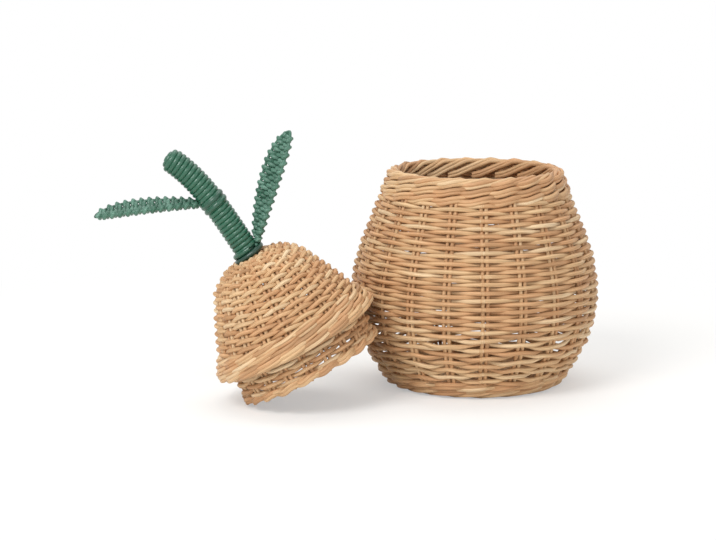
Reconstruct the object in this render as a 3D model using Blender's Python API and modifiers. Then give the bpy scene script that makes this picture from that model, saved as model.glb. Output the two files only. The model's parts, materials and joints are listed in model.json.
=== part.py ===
"""Woven cane basket in the shape of an onion, with its lid lifted off and leaning on it.

The basket is a bellied wall woven on pairs of upright stakes, with a rolled border at its
mouth and at its foot. The lid is a woven crown on stakes of its own, with a neck under it
that drops into the mouth, and a wound stem on top that carries two leaves.

Units are metres and +Z is up. The origin is under the middle of the whole outline, on the floor.
"""
import math

import bmesh
import bpy
from mathutils import Vector
from mathutils.bvhtree import BVHTree

# Canes and clearances
WEAVER = 0.0030                 # cane that is woven round and round
STAKE_CANE = 0.0030             # canes that stand upright, in pairs
STAKE_SPACING = 0.0036          # from one cane of a pair to the other
WAIST_SHARE = 0.6               # how deep a pair is between its canes, against a cane
GAP = 0.0003                    # between pieces that touch
STAKES = 20                     # pairs round the basket, and round the lid
STEPS = 2 * STAKES              # flats round a turned piece, every second with a pair
FLAT_SHARE = math.cos(math.pi / STEPS)   # middle of a flat against its corners
RIB_SHARE = 0.035               # how far a woven wall sinks between its ribs, against its radius
RIB_START = 0.0300              # radius at which the ribs begin
RIB_PLACE_SHARES = (0, 1 / 2, 3 / 4)     # edges of a rib and middle of a hollow, in one spacing
BLUNT_SHARE = -0.6              # corners blunter than this cosine stay as they are
LEAST_STEP = 0.00001            # for slopes and for joining a turned piece's ends

# Basket
BELLY_RADIUS = 0.095
BELLY_HEIGHT = 0.0685
MOUTH_RADIUS = 0.0680           # outside of the wall, level with the rim border
MOUTH_HEIGHT = 0.1570
MOUTH_FLARE_SHARE = 1.36        # slope of the wall at the mouth, against its mean slope
FOOT_RADIUS = 0.0650
FOOT_FLARE_SHARE = 2.03         # slope of the wall at the foot, against its mean slope
FOOT_HEIGHT = 0.0090            # foot border
FOOT_DEPTH = 0.0085
RIM_HEIGHT = 0.0115             # rim border
RIM_DEPTH = 0.0064
RIM_TOP = 0.1635
RIM_CORNER = 0.0028
FOOT_CORNER = 0.0016
BASE_THICKNESS = 0.0040
BASE_RISE = 0.0020              # the base is a little higher in its middle
WALL_STATIONS = 7
WALL_CROWDING = 1.25            # above 1 sets the stations closer together near the foot
BASKET_TURN = math.radians(-92.3)

# Lid
CROWN_RADIUS = 0.0632
CROWN_HEIGHT = 0.0740           # of the curve that the crown follows
CROWN_POWER = 2.7               # a cone would have 1, a drum a very large one
SEAT_RADIUS = 0.0190            # flat top that carries the stem
CROWN_STATIONS = 6
EDGE_HEIGHT = 0.0100            # edge border, above the lower edge of the crown
EDGE_DROP = 0.0018              # and below it
EDGE_SWELL = 0.0012
NECK_CLEARANCE = 0.0025         # between the neck and the inside of the rim border
NECK_STEP = 0.0069              # at least, from the outside of the crown to that of the neck
NECK_DROP = 0.0025              # from the lower edge of the crown to the neck's weave
NECK_TAPER = 0.0015
NECK_HEIGHT = 0.0255            # from the lower edge of the crown to the foot of the neck
NECK_BORDER_HEIGHT = 0.0065
NECK_BORDER_DEPTH = 0.0065
NECK_CORNER = 0.0026
LID_TURN = math.radians(-90.8)
LID_TILT = math.radians(28.0)   # leans to the left
LID_FORWARD = 0.0740            # from the axis of the basket to the axis of the lid
SEARCH_REACH = 0.30             # the lid's place is looked for this far from the basket
SEARCH_HALVINGS = 20

# Stem
CORE_RADIUS = 0.0063
CORE_SINK = 0.0100              # below the top of the crown
STEM_HEIGHT = 0.0940            # above the top of the crown
STEM_LEAN_SHARE = 0.07          # sideways against height, all the way up
STEM_HOOK = 0.0110              # further sideways at the tip
CORE_POINTS = 12
CORE_RESOLUTION = 4
COLLAR_RADIUS = 0.0121
COLLAR_HEIGHT = 0.0055
COLLAR_CORNER = 0.0010
WRAP_CANE = 0.0025
WRAP_PITCH = 0.00335
WRAP_POINTS = 10                # to a turn
LOWER_TURNS = 8
TIE_TURNS = 2
UPPER_TURNS = 11
WRAP_SPACE = 0.0008             # between one winding and the next
WRAP_RADIUS = (CORE_RADIUS + GAP + WRAP_CANE / 2) / math.cos(math.pi / WRAP_POINTS)

# Leaves
LEAF_CANE = 0.0022
LEAF_SHEET = 0.0012
LEAF_WIDTH = 0.0210
LEAF_TROUGH = math.radians(15)  # each half rises from the midrib by this angle
LEAF_WIDEST_SHARE = 0.65        # of the length, from the stem
LEAF_ROUNDING = 0.8
LEAF_POINTS = 9                 # along each side
SHEET_START_SHARE = 0.14
SHEET_END_SHARE = 0.92
SHEET_ROWS = 8
LEFT_LEAF_LENGTH = 0.0780
LEFT_LEAF_RISE = math.radians(22.3)
LEFT_LEAF_ARCH = 0.0003
LEFT_LEAF_ROLL = math.radians(20)
RIGHT_LEAF_LENGTH = 0.0810
RIGHT_LEAF_RISE = math.radians(45.0)
RIGHT_LEAF_ARCH = 0.0018
RIGHT_LEAF_ROLL = math.radians(36)

# Colours, as written on screen
NATURAL = "C49A67"
NATURAL_DARK = "AD824F"
NATURAL_PALE = "D2AC7B"
GREEN = "2E6B50"
GREEN_PALE = "4A8568"
CANE_ROUGHNESS = 0.55
DYED_ROUGHNESS = 0.42

# What a size is worked out from
RIM_BASE = RIM_TOP - RIM_HEIGHT
WALL_LOW = FOOT_HEIGHT + GAP
WALL_TOP = RIM_BASE - GAP
PAIR_WIDTH = STAKE_SPACING + STAKE_CANE
STAKE_START = (PAIR_WIDTH / 2 + GAP) / math.tan(math.pi / STAKES)
STAKE_SEAT = GAP + STAKE_CANE / 2


def start_scene():
    """Empties the scene, and makes the two collections."""
    for thing in list(bpy.data.objects):
        bpy.data.objects.remove(thing)
    made = []
    for name in ("onion_basket", "guides"):
        group = bpy.data.collections.new(name)
        bpy.context.scene.collection.children.link(group)
        made.append(group)
    return made


PARTS, GUIDES = start_scene()


def linear(code):
    """Colour as written on screen, turned into the linear values that a shader takes."""
    values = []
    for place in (0, 2, 4):
        share = int(code[place:place + 2], 16) / 255
        values.append(share / 12.92 if share <= 0.04045 else ((share + 0.055) / 1.055) ** 2.4)
    return (*values, 1.0)


def material(name, code, roughness):
    """Plain finish of one kind of piece."""
    made = bpy.data.materials.new(name)
    made.use_nodes = True
    shader = made.node_tree.nodes["Principled BSDF"]
    shader.inputs["Base Color"].default_value = linear(code)
    shader.inputs["Roughness"].default_value = roughness
    shader.inputs["Metallic"].default_value = 0.0
    return made


FINISH = {
    "weave": material("weave_cane", NATURAL, CANE_ROUGHNESS),
    "border": material("border_cane", NATURAL_PALE, CANE_ROUGHNESS),
    "stake": material("stake_cane", NATURAL_PALE, CANE_ROUGHNESS),
    "base": material("base_cane", NATURAL_DARK, CANE_ROUGHNESS),
    "core": material("core_cane", NATURAL_DARK, CANE_ROUGHNESS),
    "wrap": material("wrap_cane", GREEN, DYED_ROUGHNESS),
    "leaf": material("leaf_cane", GREEN_PALE, DYED_ROUGHNESS),
}


def empty(name, parent=None, location=(0, 0, 0), rotation=(0, 0, 0)):
    """Bare axes that carry pieces."""
    made = bpy.data.objects.new(name, None)
    made.parent = parent
    made.location = location
    made.rotation_euler = rotation
    PARTS.objects.link(made)
    return made


def piece(name, data, parent, finish, rotation=(0, 0, 0)):
    """A piece on its carrier."""
    made = bpy.data.objects.new(name, data)
    made.parent = parent
    made.rotation_euler = rotation
    if not data.materials:
        data.materials.append(FINISH[finish])
    PARTS.objects.link(made)
    return made


def turned(name, section, parent, finish):
    """Turned piece. Its section runs down the outer side first."""
    mesh = bpy.data.meshes.new(name)
    count = len(section)
    on_axis = section[0][0] == 0 and section[-1][0] == 0
    edges = [(i, (i + 1) % count) for i in range(count - 1 if on_axis else count)]
    mesh.from_pydata([(radius, 0, height) for radius, height in section], edges, [])
    made = piece(name, mesh, parent, finish)
    screw = made.modifiers.new("turn", "SCREW")
    screw.steps = STEPS
    screw.render_steps = STEPS
    screw.use_merge_vertices = True
    screw.merge_threshold = LEAST_STEP
    screw.use_smooth_shade = False
    return made


def ribbed(name, outer, depth, parent, finish):
    """Woven wall, given by its outer side. It has a flat rib over each pair of stakes."""
    section = shell_section(outer, depth)
    count = len(section)
    corners, faces = [], []
    for index in range(STAKES):
        for share in RIB_PLACE_SHARES:
            angle = 2 * math.pi * (index + share) / STAKES
            for radius, height in section:
                if share == RIB_PLACE_SHARES[-1]:
                    radius = radius * FLAT_SHARE - RIB_SHARE * max(radius - RIB_START, 0)
                corners.append((radius * math.cos(angle), radius * math.sin(angle), height))
    for first in range(0, len(corners), count):
        for k in range(count):
            on, near = first + (k + 1) % count, (first + count) % len(corners)
            faces.append((first + k, on, near + (k + 1) % count, near + k))
    mesh = bpy.data.meshes.new(name)
    mesh.from_pydata(corners, [], faces)
    return piece(name, mesh, parent, finish)


def tube(name, points, diameter, resolution):
    """Curve data of a round tube with closed ends."""
    curve = bpy.data.curves.new(name, "CURVE")
    curve.dimensions = "3D"
    curve.bevel_depth = diameter / 2
    curve.bevel_resolution = resolution
    curve.use_fill_caps = True
    spline = curve.splines.new("POLY")
    spline.points.add(len(points) - 1)
    for point, place in zip(spline.points, points):
        point.co = (*place, 1)
    return curve


def inset_line(points, depth):
    """Line moved inwards by depth, square to each of its straight runs.

    The line runs down the outer side. A steep end keeps its height, a flat one its radius.
    """
    normals = []
    for (r0, z0), (r1, z1) in zip(points, points[1:]):
        length = math.hypot(r1 - r0, z1 - z0)
        normals.append(((z0 - z1) / length, (r1 - r0) / length))
    moved = []
    for index, (radius, height) in enumerate(points):
        before = normals[max(index - 1, 0)]
        after = normals[min(index, len(normals) - 1)]
        if index in (0, len(points) - 1):
            across, up = after
            if abs(across) > abs(up):
                moved.append((radius - depth / across, height))
            else:
                moved.append((radius, height - depth / up))
        else:
            share = depth / (1 + before[0] * after[0] + before[1] * after[1])
            moved.append((radius - (before[0] + after[0]) * share,
                          height - (before[1] + after[1]) * share))
    return moved


def shell_section(outer, depth):
    """Closed section of a wall whose outer side is given."""
    return outer + inset_line(outer, depth)[::-1]


def flat_line(points):
    """The same line in the middle of a flat of the turned piece."""
    return [(radius * FLAT_SHARE, height) for radius, height in points]


def cut_back(line, depth):
    """Line whose first end is drawn back, so that no corner of its cap rises past that end."""
    (r0, z0), (r1, z1) = line[:2]
    share = depth * abs(r1 - r0) / (abs(z1 - z0) * math.hypot(r1 - r0, z1 - z0))
    return [(r0 + (r1 - r0) * share, z0 + (z1 - z0) * share)] + line[1:]


def at_height(line, height):
    """Point of a falling line at a height."""
    for (r0, z0), (r1, z1) in zip(line, line[1:]):
        if z1 <= height <= z0:
            return (r0 + (r1 - r0) * (z0 - height) / (z0 - z1), height)
    raise ValueError("the line doesn't reach that height")


def rounded(section, size, steps=1):
    """Closed section whose sharp corners are rounded off, in as many steps."""
    made = []
    for index, corner in enumerate(section):
        here = Vector(corner)
        back = (Vector(section[index - 1]) - here).normalized()
        on = (Vector(section[(index + 1) % len(section)]) - here).normalized()
        if back.dot(on) < BLUNT_SHARE:
            made.append(corner)
            continue
        for step in range(steps + 1):
            share = step / steps
            made.append(tuple(here + back * size * (1 - share) ** 2 + on * size * share ** 2))
    return made


def eased(share, end_slope):
    """Runs from 0 to 1, level at the start and with the given slope at the end."""
    square = share * share
    return square * (3 - 2 * share) + end_slope * square * (share - 1)


def wall_radius(height):
    """Outside of the basket's wall."""
    if height > BELLY_HEIGHT:
        share = (height - BELLY_HEIGHT) / (MOUTH_HEIGHT - BELLY_HEIGHT)
        return BELLY_RADIUS - (BELLY_RADIUS - MOUTH_RADIUS) * eased(share, MOUTH_FLARE_SHARE)
    share = (BELLY_HEIGHT - height) / BELLY_HEIGHT
    return BELLY_RADIUS - (BELLY_RADIUS - FOOT_RADIUS) * eased(share, FOOT_FLARE_SHARE)


def wall_outline():
    """Outer side of the wall, from the rim border down to the foot border."""
    heights = [WALL_LOW + (WALL_TOP - WALL_LOW) * (k / WALL_STATIONS) ** WALL_CROWDING
               for k in range(WALL_STATIONS, -1, -1)]
    return [(wall_radius(height), height) for height in heights]


def crown_radius(height):
    """Outside of the lid's crown."""
    return CROWN_RADIUS * (1 - height / CROWN_HEIGHT) ** (1 / CROWN_POWER)


CROWN_TOP = CROWN_HEIGHT * (1 - (SEAT_RADIUS / CROWN_RADIUS) ** CROWN_POWER)


def crown_outline():
    """Outer side of the crown, from its flat top down to the edge border."""
    low = EDGE_HEIGHT + GAP
    line = [((CORE_RADIUS + GAP) / FLAT_SHARE, CROWN_TOP)]
    for k in range(CROWN_STATIONS, -1, -1):
        height = low + (CROWN_TOP - low) * math.sin(math.pi / 2 * k / CROWN_STATIONS)
        line.append((crown_radius(height), height))
    return line


def pair_section():
    """Guide: section of two canes side by side, as one solid."""
    half, depth = PAIR_WIDTH / 2, STAKE_CANE / 2
    middle = STAKE_SPACING / 2
    outline = [(half, 0), (middle, -depth), (0, -depth * WAIST_SHARE), (-middle, -depth),
               (-half, 0), (-middle, depth), (0, depth * WAIST_SHARE), (middle, depth)]
    curve = bpy.data.curves.new("pair_section", "CURVE")
    curve.dimensions = "2D"
    spline = curve.splines.new("POLY")
    spline.points.add(len(outline) - 1)
    for point, (across, up) in zip(spline.points, outline):
        point.co = (across, up, 0, 1)
    spline.use_cyclic_u = True
    made = bpy.data.objects.new("pair_section", curve)
    made.hide_render = True
    made.display_type = "WIRE"
    GUIDES.objects.link(made)
    return made


def stake_pairs(name, line, section, parent):
    """Pairs of canes behind every second flat, all alike. The line lies in the plane of its axis."""
    curve = tube(name, [(radius, 0, height) for radius, height in line], 0, 0)
    curve.bevel_mode = "OBJECT"
    curve.bevel_object = section
    for index in range(STAKES):
        angle = 2 * math.pi * index / STAKES + math.pi / STEPS
        piece(f"{name}_{index + 1:02d}", curve, parent, "stake", (0, 0, angle))


def basket(parent, section):
    """Base, wall, borders and stakes of the basket."""
    outline = wall_outline()
    ribbed("wall_weave", outline, WEAVER, parent, "weave")

    heights = (RIM_TOP, (RIM_TOP + RIM_BASE) / 2, RIM_BASE)
    rim = shell_section([(wall_radius(height), height) for height in heights], RIM_DEPTH)
    turned("rim_border", rounded(rim, RIM_CORNER, 2), parent, "border")
    mouth = min(radius for radius, height in rim)

    inner = wall_radius(0) - FOOT_DEPTH
    foot = [(wall_radius(height), height) for height in (FOOT_HEIGHT, FOOT_HEIGHT / 2, 0)]
    foot += [(inner, 0), (inner, FOOT_HEIGHT)]
    turned("foot_border", rounded(foot, FOOT_CORNER), parent, "border")

    edge = inner - GAP
    base = [(0, FOOT_HEIGHT + BASE_RISE), (edge, FOOT_HEIGHT),
            (edge, FOOT_HEIGHT - BASE_THICKNESS), (0, FOOT_HEIGHT - BASE_THICKNESS + BASE_RISE)]
    turned("base_weave", base, parent, "base")

    inside = inset_line(flat_line(inset_line(outline, WEAVER)), STAKE_SEAT)
    inside = cut_back(inside, STAKE_CANE / 2)
    over = FOOT_HEIGHT + STAKE_SEAT
    rise = BASE_RISE * (1 - STAKE_START / edge)
    line = inside[:-1] + [(inside[-1][0] - STAKE_CANE / 2, over), (inner, over),
                          (STAKE_START, over + rise)]
    stake_pairs("stake_pair", line, section, parent)
    return mouth


def lid_weave(parent, section, mouth):
    """Crown, neck, borders and stakes of the lid. Its lower edge is at height 0."""
    outline = crown_outline()
    ribbed("crown_weave", outline, WEAVER, parent, "weave")

    edge_line = [(crown_radius(EDGE_HEIGHT), EDGE_HEIGHT), (CROWN_RADIUS, 0),
                 (CROWN_RADIUS, -EDGE_DROP)]
    inner_edge = inset_line(edge_line, WEAVER)
    middle = EDGE_HEIGHT / 2
    edge_outer = [(crown_radius(EDGE_HEIGHT), EDGE_HEIGHT),
                  (crown_radius(middle) + EDGE_SWELL, middle),
                  (CROWN_RADIUS + EDGE_SWELL, EDGE_SWELL),
                  (CROWN_RADIUS + EDGE_SWELL / 2, -EDGE_DROP / 2),
                  (CROWN_RADIUS - EDGE_SWELL, -EDGE_DROP)]
    turned("edge_border", edge_outer + inner_edge[::-1], parent, "border")

    neck_radius = min(mouth - NECK_CLEARANCE, CROWN_RADIUS - NECK_STEP)
    neck_foot = NECK_BORDER_HEIGHT - NECK_HEIGHT
    neck = [(neck_radius, -NECK_DROP), (neck_radius - NECK_TAPER, neck_foot + GAP)]
    turned("neck_weave", shell_section(neck, WEAVER), parent, "weave")
    outer = neck_radius - NECK_TAPER
    border = shell_section([(outer, neck_foot), (outer, -NECK_HEIGHT)], NECK_BORDER_DEPTH)
    turned("neck_border", rounded(border, NECK_CORNER), parent, "border")

    inside = inset_line(flat_line(inset_line(outline, WEAVER)), STAKE_SEAT)
    beside_edge = inset_line(flat_line(inner_edge), STAKE_SEAT)
    beside_neck = inset_line(flat_line(inset_line(neck, WEAVER)), STAKE_SEAT)
    foot, top = cut_back(beside_neck[::-1], STAKE_CANE / 2)
    line = [point for point in inside if point[0] > STAKE_START]
    line += [at_height(beside_edge, STAKE_CANE), (top[0], top[1] + STAKE_SEAT), foot]
    stake_pairs("lid_stake_pair", line, section, parent)
    return neck_radius


def stem_point(height):
    """Middle of the stem, at a height above the top of the crown."""
    hook = STEM_HOOK * (max(height, 0) / STEM_HEIGHT) ** 4
    return Vector((-STEM_LEAN_SHARE * height - hook, 0, CROWN_TOP + height))


def wound(name, start, turns, parent):
    """One unbroken cane wound round the stem, with a straight end of one diameter at each end."""
    places = []
    for step in range(turns * WRAP_POINTS + 1):
        height = start + WRAP_PITCH * step / WRAP_POINTS
        middle = stem_point(height)
        along = (stem_point(height + LEAST_STEP) - middle).normalized()
        side = Vector((0, 1, 0)).cross(along)
        angle = 2 * math.pi * step / WRAP_POINTS
        places.append(middle + WRAP_RADIUS * (math.cos(angle) * side
                                              + math.sin(angle) * Vector((0, 1, 0))))
    least = least_gap(places)
    print(name, "turns", turns, "least gap to itself, mm", round(least * 1000, 3))
    first = places[0] + (places[0] - places[1]).normalized() * WRAP_CANE
    last = places[-1] + (places[-1] - places[-2]).normalized() * WRAP_CANE
    piece(name, tube(name, [first] + places + [last], WRAP_CANE, 1), parent, "wrap")
    return start + WRAP_PITCH * turns


def least_gap(places):
    """Least gap between one turn and the next, measured on points."""
    half_turn = WRAP_POINTS // 2
    nearest = min((places[i] - places[j]).length
                  for i in range(len(places))
                  for j in range(i + half_turn, min(i + 2 * WRAP_POINTS, len(places))))
    return nearest - WRAP_CANE


def stem(parent):
    """Core, collar and windings. Returns the height left free for the left leaf's stalk."""
    heights = [-CORE_SINK + (STEM_HEIGHT + CORE_SINK) * k / (CORE_POINTS - 1)
               for k in range(CORE_POINTS)]
    core = tube("stem_core", [stem_point(height) for height in heights], 2 * CORE_RADIUS,
                CORE_RESOLUTION)
    piece("stem_core", core, parent, "core")

    hole = (CORE_RADIUS + COLLAR_HEIGHT * STEM_LEAN_SHARE + GAP) / FLAT_SHARE
    seat = CROWN_TOP + GAP
    collar = [(COLLAR_RADIUS, seat + COLLAR_HEIGHT), (COLLAR_RADIUS, seat), (hole, seat),
              (hole, seat + COLLAR_HEIGHT)]
    turned("stem_collar", rounded(collar, COLLAR_CORNER), parent, "wrap")

    start = COLLAR_HEIGHT + 2 * GAP + WRAP_CANE
    start = wound("stem_wrap_lower", start, LOWER_TURNS, parent)
    start = wound("stem_tie", start + WRAP_CANE + WRAP_SPACE, TIE_TURNS, parent)
    stalk = start + WRAP_CANE / 2 + WRAP_SPACE + LEAF_CANE / 2
    climb = (WRAP_RADIUS + WRAP_CANE / 2 - CORE_RADIUS) * math.tan(LEFT_LEAF_RISE)
    climb += (LEAF_CANE + GAP) * math.sin(LEFT_LEAF_ROLL)
    start = stalk + LEAF_CANE / 2 + climb + WRAP_SPACE + WRAP_CANE / 2
    wound("stem_wrap_upper", start, UPPER_TURNS, parent)
    return stalk


def leaf_half_width(share):
    """From the midrib to the middle of the frame cane."""
    root = LEAF_CANE + GAP
    widest = LEAF_WIDTH / 2
    if share < LEAF_WIDEST_SHARE:
        swell = math.sin(math.pi / 2 * share / LEAF_WIDEST_SHARE) ** LEAF_ROUNDING
        return root + (widest - root) * swell
    beyond = (share - LEAF_WIDEST_SHARE) / (1 - LEAF_WIDEST_SHARE)
    return widest * math.sqrt(max(1 - beyond * beyond, 0))


def leaf(name, root, heading, bow, length, arch, roll, parent):
    """Frame, midrib and woven sheet. Heading and bow are unit vectors in the lid's upright plane."""
    near = Vector((0, -1, 0))
    across = math.cos(roll) * near - math.sin(roll) * bow
    face = math.cos(roll) * bow + math.sin(roll) * near

    def place(share, sideways, lift=0):
        spine = root + heading * length * share + bow * arch * 4 * share * (1 - share)
        rise = abs(sideways) * math.sin(LEAF_TROUGH) + lift
        return spine + across * sideways * math.cos(LEAF_TROUGH) + face * rise

    shares = [math.sin(math.pi / 2 * k / LEAF_POINTS) for k in range(LEAF_POINTS)]
    one_side = [place(share, leaf_half_width(share)) for share in shares]
    other_side = [place(share, -leaf_half_width(share)) for share in shares]
    frame = one_side + [place(1, 0)] + other_side[::-1]
    piece(f"{name}_frame", tube(f"{name}_frame", frame, LEAF_CANE, 1), parent, "leaf")

    end = 1 - (LEAF_CANE + GAP) / length
    midrib = [place(end * k / (LEAF_POINTS - 1), 0) for k in range(LEAF_POINTS)]
    piece(f"{name}_midrib", tube(f"{name}_midrib", midrib, LEAF_CANE, 1), parent, "leaf")

    mesh = bpy.data.meshes.new(f"{name}_weave")
    shape = bmesh.new()
    bmesh.ops.create_grid(shape, x_segments=4, y_segments=SHEET_ROWS, size=1)
    under = LEAF_CANE / 2 + GAP + LEAF_SHEET / 2
    for corner in shape.verts:
        share = SHEET_START_SHARE + (SHEET_END_SHARE - SHEET_START_SHARE) * (corner.co.y + 1) / 2
        reach = leaf_half_width(share) - LEAF_CANE / 2 - GAP - LEAF_SHEET / 2
        sideways = corner.co.x * reach
        corner.co = place(share, sideways, -under * min(1, 2 - 2 * abs(corner.co.x)))
    shape.to_mesh(mesh)
    shape.free()
    made = piece(f"{name}_weave", mesh, parent, "leaf")
    solid = made.modifiers.new("sheet", "SOLIDIFY")
    solid.thickness = LEAF_SHEET
    solid.offset = 0
    solid.use_even_offset = True


def leaves(parent, stalk):
    """The left leaf on the stem's side, and the right one on its collar."""
    side = stem_point(stalk)
    root = side + Vector((-CORE_RADIUS - GAP - LEAF_CANE / 2, 0, 0))
    heading = Vector((-math.cos(LEFT_LEAF_RISE), 0, math.sin(LEFT_LEAF_RISE)))
    bow = Vector((math.sin(LEFT_LEAF_RISE), 0, math.cos(LEFT_LEAF_RISE)))
    leaf("left_leaf", root, heading, bow, LEFT_LEAF_LENGTH, LEFT_LEAF_ARCH, LEFT_LEAF_ROLL, parent)

    beside = WRAP_RADIUS + WRAP_CANE / 2 + GAP + LEAF_CANE / 2
    root = Vector((beside, 0, CROWN_TOP + COLLAR_HEIGHT + 2 * GAP + LEAF_CANE))
    heading = Vector((math.cos(RIGHT_LEAF_RISE), 0, math.sin(RIGHT_LEAF_RISE)))
    bow = Vector((-math.sin(RIGHT_LEAF_RISE), 0, math.cos(RIGHT_LEAF_RISE)))
    leaf("right_leaf", root, heading, bow, RIGHT_LEAF_LENGTH, RIGHT_LEAF_ARCH, RIGHT_LEAF_ROLL,
         parent)


def solid_of(thing, shift=(0, 0, 0)):
    """Corners and faces of a finished piece in the world, moved by shift."""
    bpy.context.view_layer.update()
    solid = thing.evaluated_get(bpy.context.evaluated_depsgraph_get())
    mesh = solid.to_mesh()
    corners = [thing.matrix_world @ corner.co + Vector(shift) for corner in mesh.vertices]
    faces = [tuple(face.vertices) for face in mesh.polygons]
    solid.to_mesh_clear()
    return corners, faces


def lean_place(leaning, standing):
    """How far to the left the lid stands when the first of its pieces rests on the basket."""
    still = [BVHTree.FromPolygons(*solid_of(bpy.data.objects[name])) for name in standing]
    near, far = BELLY_RADIUS, SEARCH_REACH
    for _ in range(SEARCH_HALVINGS):
        middle = (near + far) / 2
        moved = [BVHTree.FromPolygons(*solid_of(bpy.data.objects[name], (-middle, 0, 0)))
                 for name in leaning]
        if any(one.overlap(other) for one in moved for other in still):
            near = middle
        else:
            far = middle
    return far + GAP


def outline_middle():
    """Middle of the whole outline on the floor."""
    corners = []
    for thing in PARTS.objects:
        if thing.type != "EMPTY":
            corners += solid_of(thing)[0]
    return [(min(c[axis] for c in corners) + max(c[axis] for c in corners)) / 2 for axis in (0, 1)]


def build():
    """Makes the whole part."""
    whole = empty("whole")
    section = pair_section()
    body = empty("basket_axis", whole, rotation=(0, 0, BASKET_TURN))
    mouth = basket(body, section)

    lift = empty("lid_lift", whole, rotation=(0, -LID_TILT, 0))
    woven = empty("lid_round", lift, rotation=(0, 0, LID_TURN))
    lid_weave(woven, section, mouth)
    leaves(lift, stem(lift))

    height = -min(corner.z for corner in solid_of(bpy.data.objects["neck_border"])[0])
    lift.location = (0, -LID_FORWARD, height)
    left = lean_place(("edge_border", "crown_weave", "neck_weave", "neck_border"),
                      ("wall_weave", "foot_border", "rim_border"))
    lift.location = (-left, -LID_FORWARD, height)
    across, deep = outline_middle()
    whole.location = (-across, -deep, 0)


build()
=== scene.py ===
"""Looks of a woven cane basket in the shape of an onion, whose lid leans on it.

Every woven wall is made as it is on the real basket: pairs of upright stakes, rows of round
cane that pass before one pair and behind the next, and borders plaited from slanting canes.
Lengths are metres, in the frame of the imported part.
"""

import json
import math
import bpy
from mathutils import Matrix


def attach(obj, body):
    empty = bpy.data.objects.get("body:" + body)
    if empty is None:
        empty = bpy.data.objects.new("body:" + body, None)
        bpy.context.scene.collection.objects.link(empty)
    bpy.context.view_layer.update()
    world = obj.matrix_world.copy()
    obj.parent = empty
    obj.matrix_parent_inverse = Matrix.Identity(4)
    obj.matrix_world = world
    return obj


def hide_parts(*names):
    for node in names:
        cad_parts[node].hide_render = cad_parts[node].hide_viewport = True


bl_info = {
    "name": "Onion Basket Weave",
    "version": (1, 0, 0),
    "blender": (4, 5, 0),
    "location": "View3D > Sidebar > Basket",
    "description": "Weaves the cane of a lidded onion basket over its packed solids",
    "category": "Object",
}

import bpy
from bpy.props import FloatProperty, FloatVectorProperty, IntProperty, PointerProperty
from mathutils import Matrix, Vector

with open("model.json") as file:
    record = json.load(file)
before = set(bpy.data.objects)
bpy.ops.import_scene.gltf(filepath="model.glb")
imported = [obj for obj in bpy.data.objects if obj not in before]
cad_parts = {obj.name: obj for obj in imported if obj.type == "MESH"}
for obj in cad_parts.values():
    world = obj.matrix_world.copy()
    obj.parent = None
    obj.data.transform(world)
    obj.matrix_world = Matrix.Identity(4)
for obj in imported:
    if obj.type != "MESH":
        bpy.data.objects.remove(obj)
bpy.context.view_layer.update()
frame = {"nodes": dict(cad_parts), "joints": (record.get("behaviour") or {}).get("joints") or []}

SLACK = 0.0004          # between a weaver and the stakes it passes
STAKE_START = 0.0225    # radius at which the stakes begin on the base
SAG_HEIGHT = 0.026      # where the rows sag most, and how far above and below they still do
SAG_REACH = 0.034
LOOSE_THICK = 0.88      # thickness and stray of a loose row against those of a tight one
LOOSE_STRAY = 2.6
SHOULDER_HEIGHT = 0.061     # where the crown stands out most, and how far that reaches
SHOULDER_REACH = 0.009
STEM_BELOW = 0.010      # how far the stem's middle line runs on below the top of the crown
STEM_TOP = 0.0095       # from the tip of the stem down to where the core's own dome begins
COLLAR_CANE = 0.0042
TIE_HEIGHT = 0.0420     # lower end of the turns that tie the left leaf
LEFT_LEAF_HEIGHT = 0.0490
RIGHT_LEAF_HEIGHT = 0.0083
CORE_RADIUS = 0.0063
LEAF_GAP = 0.0003       # between a leaf's stalk and the stem
FIBRE_CODE = "7A5228"
DYED_FIBRE_CODE = "1B332C"

# For each border: swing, space between its two canes, bob, thickness, steps, stray,
# unevenness, seed, body and solid.
PLAITS = {
    "rim_plait": (0.0024, 0.0024, 0.0008, 0.0033, 90, 0.0018, 0.10, 500.0, "basket", "rim_border"),
    "foot_plait": (0.0024, 0.0023, 0.0, 0.0033, 64, 0.0014, 0.08, 600.0, "basket", "foot_border"),
    "edge_plait": (0.0018, 0.0023, 0.0, 0.0033, 72, 0.0022, 0.09, 1200.0, "lid", "edge_border"),
    "neck_plait": (0.0018, 0.0022, 0.0015, 0.0031, 56, 0.0024, 0.09, 1300.0, "lid", "neck_border"),
}


def linear(code):
    """Colour written as sRGB hex, turned into the linear values that Blender takes."""
    values = []
    for place in (0, 2, 4):
        share = int(code[place:place + 2], 16) / 255
        values.append(share / 12.92 if share <= 0.04045 else ((share + 0.055) / 1.055) ** 2.4)
    return values


def size(name, default, description):
    """A length that a user may change."""
    return FloatProperty(name=name, default=default, description=description, unit="LENGTH",
                         precision=5)


def number(name, default, description):
    """A plain number that a user may change."""
    return FloatProperty(name=name, default=default, description=description)


def tilt(name, degrees, description):
    """An angle that a user may change."""
    return FloatProperty(name=name, default=math.radians(degrees), description=description,
                         subtype="ANGLE")


def colour(name, code, description):
    """A colour that a user may change."""
    return FloatVectorProperty(name=name, default=linear(code), description=description,
                               subtype="COLOR", min=0, max=1)


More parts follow.
